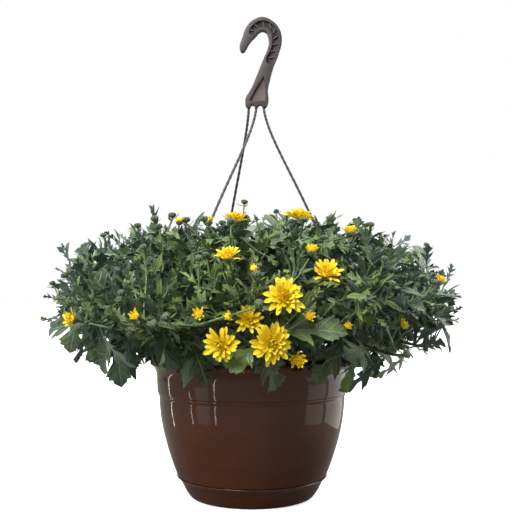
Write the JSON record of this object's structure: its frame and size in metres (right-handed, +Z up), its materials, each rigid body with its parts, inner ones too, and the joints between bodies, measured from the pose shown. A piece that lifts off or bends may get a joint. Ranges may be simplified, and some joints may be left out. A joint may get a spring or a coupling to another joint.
{
  "type": "potted chrysanthemum in a hanging basket",
  "caption": "Yellow garden chrysanthemum in a round brown hanging pot with a clip-on saucer and a moulded three-strand hook hanger.",
  "frame": {"origin": "middle of the saucer's flat underside", "axes": "+Z up along the pot's axis to the hook; -Y the pictured front; the hook's plate lies in the XZ plane"},
  "size_m": [0.5051, 0.515, 0.604],
  "materials": {
    "pot_shell": "glossy dark brown polypropylene",
    "saucer_shell": "glossy dark brown polypropylene",
    "potting_mix": "rough dark potting mix",
    "hanger_plastic": "satin grey brown polypropylene",
    "foliage": "matte green leaf and stem tissue",
    "petals": "matte yellow petal tissue"
  },
  "bodies": {
    "root": {"pot": "pot_shell", "saucer": "saucer_shell", "soil": "potting_mix", "hanger": "hanger_plastic", "stem_01": "foliage", "stem_02": "foliage", "stem_03": "foliage", "stem_04": "foliage", "stem_05": "foliage", "stem_06": "foliage", "stem_07": "foliage", "stem_08": "foliage", "stem_09": "foliage", "stem_10": "foliage", "stem_11": "foliage", "stem_12": "foliage", "stem_13": "foliage", "stem_14": "foliage", "stem_15": "foliage", "stem_16": "foliage", "stem_17": "foliage", "stem_18": "foliage", "stem_19": "foliage", "stem_20": "foliage", "stem_21": "foliage", "stem_22": "foliage", "stem_23": "foliage", "stem_24": "foliage", "stem_25": "foliage", "stem_26": "foliage", "stem_27": "foliage", "stem_28": "foliage", "stem_29": "foliage", "bloom_01": "petals", "bloom_02": "petals", "bloom_03": "petals", "bloom_04": "petals", "bloom_05": "petals", "bloom_06": "petals", "bloom_07": "petals", "bloom_08": "petals", "bloom_09": "petals", "bloom_10": "petals", "bloom_11": "petals", "bloom_12": "petals", "bloom_13": "petals", "bloom_14": "petals", "bloom_15": "petals", "bloom_16": "petals", "bloom_17": "petals", "bloom_18": "petals", "bloom_19": "petals", "bloom_20": "petals", "bloom_21": "petals", "bloom_22": "petals", "bloom_23": "petals"}
  },
  "joints": []
}
